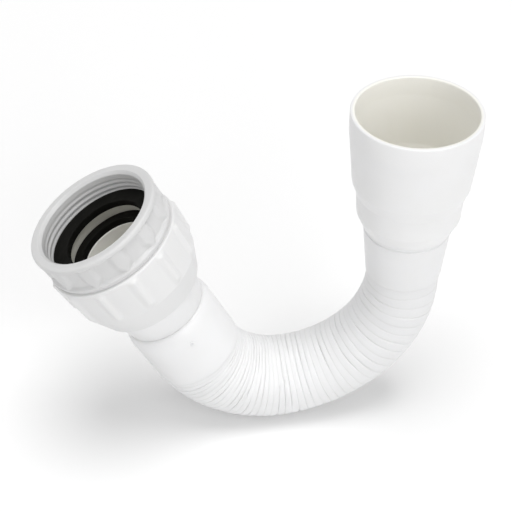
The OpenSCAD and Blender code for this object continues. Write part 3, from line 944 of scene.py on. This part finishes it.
# each part of the hose bends or stretches with one joint, and meets the next at a crease:
# name, bodies it joins, first and last pleat, CAD runs that it stands for
hoseParts = [
    ("hoseBend1", "tail", "hose_a", 0, 4, ["hose_run_01"]),
    ("hoseStretch1", "hose_a", "hose_b", 4, 10, ["hose_run_02"]),
    ("hoseBend2", "hose_b", "hose_c", 10, 14, ["hose_run_03"]),
    ("hoseSideBend", "hose_c", "hose_d", 14, 18, ["hose_run_04"]),
    ("hoseStretch2", "hose_d", "hose_e", 18, 22, ["hose_run_05"]),
    ("hoseBend3", "hose_e", "hose_f", 22, 26, ["hose_run_06"]),
    ("hoseStretch3", "hose_f", "hose_g", 26, 30, ["hose_run_07"]),
    ("hoseBend4", "hose_g", "hose_h", 30, 36, ["hose_run_08", "hose_run_09"]),
    ("hoseStretch4", "hose_h", "outlet", 36, 40, ["hose_run_10"]),
]


def pleatStart(k):
    i = min(k // hoseLine["pleatsPerRun"], hoseLine["runs"] - 1)
    return runStarts[i] + (k - i * hoseLine["pleatsPerRun"]) * runPitch(i)


hosePieces = [makeHosePart(name, pleatStart(first), pleatStart(last), nodes)
              for name, _, _, first, last, nodes in hoseParts]
print("hose made,", sum(len(p.data.polygons) for p in hosePieces), "faces")

frameSize = (512, 512)


def imageRay(point):
    # from the camera through a point of the photograph
    data, longSide = camera.data, max(frameSize)
    across = Vector((point[0] - frameSize[0] / 2 + data.shift_x * longSide,
                     frameSize[1] / 2 - point[1] + data.shift_y * longSide,
                     -longSide * data.lens / data.sensor_width))
    return camera.matrix_world.translation, (camera.matrix_world.to_3x3() @ across).normalized()


def imagePlace(place):
    # where a place in the scene shows in the photograph's frame
    data, longSide = camera.data, max(frameSize)
    p = camera.matrix_world.inverted() @ place
    scale = longSide * data.lens / data.sensor_width / -p.z
    return (frameSize[0] / 2 - data.shift_x * longSide + p.x * scale,
            frameSize[1] / 2 + data.shift_y * longSide - p.y * scale)


def surfaceTree(pieces):
    corners, faces = [], []
    for piece in pieces:
        start = len(corners)
        corners.extend(piece.matrix_world @ v.co for v in piece.data.vertices)
        faces.extend([start + i for i in face.vertices] for face in piece.data.polygons)
    return BVHTree.FromPolygons(corners, faces)


def placeOn(tree, name):
    # the place and normal where the ray through an image point meets the surface, or that nearest the ray
    origin, along = imageRay(imagePoints[name])
    hit, normal, _, _ = tree.ray_cast(origin, along)
    if hit is None:
        reach = (outletRim() - origin).length
        # tried at distances from 0.7 to 1.3 of the way to the outlet
        tries = [tree.find_nearest(origin + along * reach * (0.7 + 0.003 * k)) for k in range(200)]
        hit, normal = min(tries, key=lambda found: found[3])[:2]
    return hit, normal


# two short folds, mm and degrees
creases = {
    "creaseLow": {"halfLength": 5.2, "halfWidth": 0.55, "depth": 0.55, "slant": 12},
    "creaseMid": {"halfLength": 7.0, "halfWidth": 0.6, "depth": 0.6, "slant": 24},
}
creaseReach = 3  # vertices further in are on another side of the hose, mm


def pressCrease(name, tree):
    # a short fold, slanted against the pleats, where the hose was squeezed
    c = creases[name]
    hit, normal = placeOn(tree, name)
    tries = 400
    places = [k / (tries - 1) * hoseLength for k in range(tries)]
    turn = hoseHeading(min(places, key=lambda s: (hoseCentre(s) - hit).length))
    heading = Vector((math.cos(turn), 0, math.sin(turn)))
    aroundHose = normal.cross(heading).normalized()
    heading = aroundHose.cross(normal).normalized()
    lean = math.radians(c["slant"])
    longWay = aroundHose * math.cos(lean) + heading * math.sin(lean)
    shortWay = normal.cross(longWay).normalized()
    for piece in hosePieces:
        for v in piece.data.vertices:
            gap = (v.co - hit) / mm
            if gap.length > 2 * c["halfLength"] or gap.dot(normal) < -creaseReach:
                continue
            lengthwise, crosswise = gap.dot(longWay) / c["halfLength"], gap.dot(shortWay) / c["halfWidth"]
            fall = math.exp(-(lengthwise ** 2) - crosswise ** 2)
            v.co -= normal * fall * c["depth"] * mm
    return hit


hoseTree = surfaceTree(hosePieces)
creasePlaces = {name: pressCrease(name, hoseTree) for name in creases}

gatePip = {"radius": 0.95, "height": 0.28, "sunk": 0.2, "dimple": 0.14}  # mm


def makeGatePip():
    # the mark that the moulding gate leaves: a low round pip with a dimple
    g = gatePip
    hit, normal = placeOn(surfaceTree([collarPiece, conePiece]), "gatePip")
    corners = [
        (0.0, -g["sunk"], 0), (g["radius"], -g["sunk"], 0.05), (g["radius"] * 0.9, g["height"], 0.12),
        (g["radius"] * 0.5, g["height"], 0.1), (0.0, g["height"] - g["dimple"], 0),
    ]
    bm = spinOutline(softOutline(corners, 4), 32)
    bm.transform(Matrix.Translation(hit) @ normal.to_track_quat("Z", "Y").to_matrix().to_4x4())
    piece = addPiece("gatePip", bm, whitePlastic, "tail")
    setValues(piece, "shadeAmount", [0.0] * len(piece.data.vertices))
    setValues(piece, "inner", [0.0] * len(piece.data.vertices))
    return piece


pipPiece = makeGatePip()

# from its near body this blend loses its pivot in rounding when all joints have moved
blendedFromFarEnd = {"hoseBend4"}

for hosePiece, (name, bodyA, bodyB, firstPleat, lastPleat, _) in zip(hosePieces, hoseParts):
    first, last = pleatStart(firstPleat), pleatStart(lastPleat)
    if name in blendedFromFarEnd:
        bodyA, bodyB, first, last = bodyB, bodyA, last, first
    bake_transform(hosePiece, bodyA, bodyB, start=hoseCentre(first), end=hoseCentre(last))
    # the hose is curved, so its share of each body is counted along its middle, not along a straight line
    places = [0.0] * len(hosePiece.data.vertices)
    hosePiece.data.attributes["alongHose"].data.foreach_get("value", places)
    setValues(hosePiece, "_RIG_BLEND", [smoothStep(first, last, s) for s in places])
print("hose bends")

# floorSeen is what the camera and reflections find; light from all round is as strong as sky
stageLooks = {"floorSize": 4.0, "floorColour": (0.8, 0.8, 0.8), "floorSeen": (1.0, 1.0, 1.0), "sky": 0.44}


def makeFloor(lowest):
    bm = bmesh.new()
    bmesh.ops.create_grid(bm, x_segments=1, y_segments=1, size=stageLooks["floorSize"])
    bmesh.ops.translate(bm, vec=(0, 0, lowest), verts=bm.verts)
    material = bpy.data.materials.new("floor")
    material.use_nodes = True
    tree = material.node_tree
    tree.nodes.remove(tree.nodes["Principled BSDF"])
    surface = tree.nodes["Material Output"].inputs["Surface"]
    plain, seen = addNode(tree, "ShaderNodeBsdfDiffuse"), addNode(tree, "ShaderNodeBsdfDiffuse")
    plain.inputs["Color"].default_value = (*stageLooks["floorColour"], 1)
    seen.inputs["Color"].default_value = (*stageLooks["floorSeen"], 1)
    mix = addNode(tree, "ShaderNodeMixShader")
    tree.links.new(seenDirectly(tree), mix.inputs[0])
    tree.links.new(plain.outputs[0], mix.inputs[1])
    tree.links.new(seen.outputs[0], mix.inputs[2])
    tree.links.new(mix.outputs[0], surface)
    floor = addPiece("floor", bm, material)


def seenDirectly(tree):
    # 1 for camera, glossy and transmission rays, which see the white backdrop
    path = addNode(tree, "ShaderNodeLightPath")
    seen = mathNode(tree, "MAXIMUM", path.outputs["Is Camera Ray"], path.outputs["Is Glossy Ray"])
    return mathNode(tree, "MAXIMUM", seen, path.outputs["Is Transmission Ray"])


def makeWorld():
    world = bpy.data.worlds.new("studio")
    world.use_nodes = True
    tree = world.node_tree
    tree.nodes.clear()
    white, soft = addNode(tree, "ShaderNodeBackground"), addNode(tree, "ShaderNodeBackground")
    white.inputs["Color"].default_value = (1, 1, 1, 1)
    soft.inputs["Color"].default_value = (1, 1, 1, 1)
    white.inputs["Strength"].default_value = 1.0
    soft.inputs["Strength"].default_value = stageLooks["sky"]
    mix = addNode(tree, "ShaderNodeMixShader")
    tree.links.new(seenDirectly(tree), mix.inputs[0])
    tree.links.new(soft.outputs[0], mix.inputs[1])
    tree.links.new(white.outputs[0], mix.inputs[2])
    tree.links.new(mix.outputs[0], addNode(tree, "ShaderNodeOutputWorld").inputs["Surface"])
    scene.world = world


# places from the middle of the object and sizes in metres, power in watts
lamps = [
    {"name": "key", "at": (2.35, -4.6, 2.13), "size": 4.8, "power": 125.0},
    {"name": "top", "at": (0.2, -0.3, 5.56), "size": 3.2, "power": 142.0},
    {"name": "fill", "at": (-4.5, -2.25, 2.5), "size": 4.8, "power": 33.0},
]


def makeLamps(target):
    for lamp in lamps:
        data = bpy.data.lights.new(lamp["name"], "AREA")
        data.shape = "DISK"
        data.size = lamp["size"]
        data.energy = lamp["power"]
        piece = bpy.data.objects.new(lamp["name"], data)
        scene.collection.objects.link(piece)
        piece.location = target + Vector(lamp["at"])
        piece.rotation_euler = (-Vector(lamp["at"])).to_track_quat("-Z", "Y").to_euler()


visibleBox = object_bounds()
middle = (Vector(visibleBox[0]) + Vector(visibleBox[1])) / 2
makeFloor(visibleBox[0][2])
makeWorld()
makeLamps(middle)
scene.view_settings.view_transform = "Standard"
print("floor and light made")

objectPieces = [o for o in scene.objects if o.type == "MESH" and o.name != "floor" and not o.hide_render]
objectTree = surfaceTree(objectPieces)
showsWithin = 0.0006  # a place this close behind the first surface, in metres, still counts as seen


def shows(place):
    origin = camera.matrix_world.translation
    hit = objectTree.ray_cast(origin, (place - origin).normalized())[0]
    return hit is None or (hit - origin).length > (place - origin).length - showsWithin


def firstShown(places, key):
    return next(p for p in sorted(places, key=key) if shows(p))


def circle(matrix, radius, height):
    turns = [k * math.pi / 180 for k in range(360)]
    return [matrix @ (Vector((radius * math.cos(a), radius * math.sin(a), height)) * mm) for a in turns]


def nearestShown(places, name):
    x, y = imagePoints[name]
    shown = [imagePlace(p) for p in places if shows(p)]
    return min(shown, key=lambda q: math.hypot(q[0] - x, q[1] - y))


def middleOf(places):
    across, down = zip(*[imagePlace(p) for p in places])
    return (min(across) + max(across)) / 2, (min(down) + max(down)) / 2


def hoseEdge(name, side):
    # the hose's own outline in a strip 4 px wide; side is 1 for its lower edge and -1 for its upper one
    x = imagePoints[name][0]
    strip = [imagePlace(v.co) for piece in hosePieces for v in piece.data.vertices]
    return (x, side * max(side * q[1] for q in strip if abs(q[0] - x) < 2))


def writePoints():
    places = [v.co.copy() for o in objectPieces for v in o.data.vertices]
    images = {tuple(p): imagePlace(p) for p in places}
    m, n, p, o = mouthRing, unionNut, tailParts, outletParts
    gapDepth, notchHeight = (m["length"] + n["start"]) / 2, (o["collarHeight"] + o["step3"]) / 2
    found = {
        "leftEdge": images[tuple(firstShown(places, lambda q: images[tuple(q)][0]))],
        "rightEdge": images[tuple(firstShown(places, lambda q: -images[tuple(q)][0]))],
        "topEdge": images[tuple(firstShown(places, lambda q: images[tuple(q)][1]))],
        "bottomEdge": images[tuple(firstShown(places, lambda q: -images[tuple(q)][1]))],
        "outletRim": middleOf(circle(outletMatrix, o["radii"][0], o["rim"])),
        "mouth": middleOf(circle(inletMatrix, m["rim"], 0)),
        "seatWasher": middleOf([v.co for v in seatWasher.data.vertices if shows(v.co)]),
        "unionGap": nearestShown(circle(inletMatrix, m["bead"], gapDepth), "unionGap"),
        "coneStep": nearestShown(circle(inletMatrix, p["coneLow"] + 0.1, p["coneEnd"]), "coneStep"),
        "cuffEnd": nearestShown(circle(inletMatrix, p["collar"] - 0.4, p["collarEnd"] - 0.4), "cuffEnd"),
        "hoseInside": hoseEdge("hoseInside", -1),
        "hoseOutside": hoseEdge("hoseOutside", 1),
        "outletNotch": nearestShown(circle(outletMatrix, o["groove"], notchHeight), "outletNotch"),
        "gatePip": middleOf([v.co for v in pipPiece.data.vertices]),
        "creaseLow": imagePlace(creasePlaces["creaseLow"]),
        "creaseMid": imagePlace(creasePlaces["creaseMid"]),
    }


writePoints()
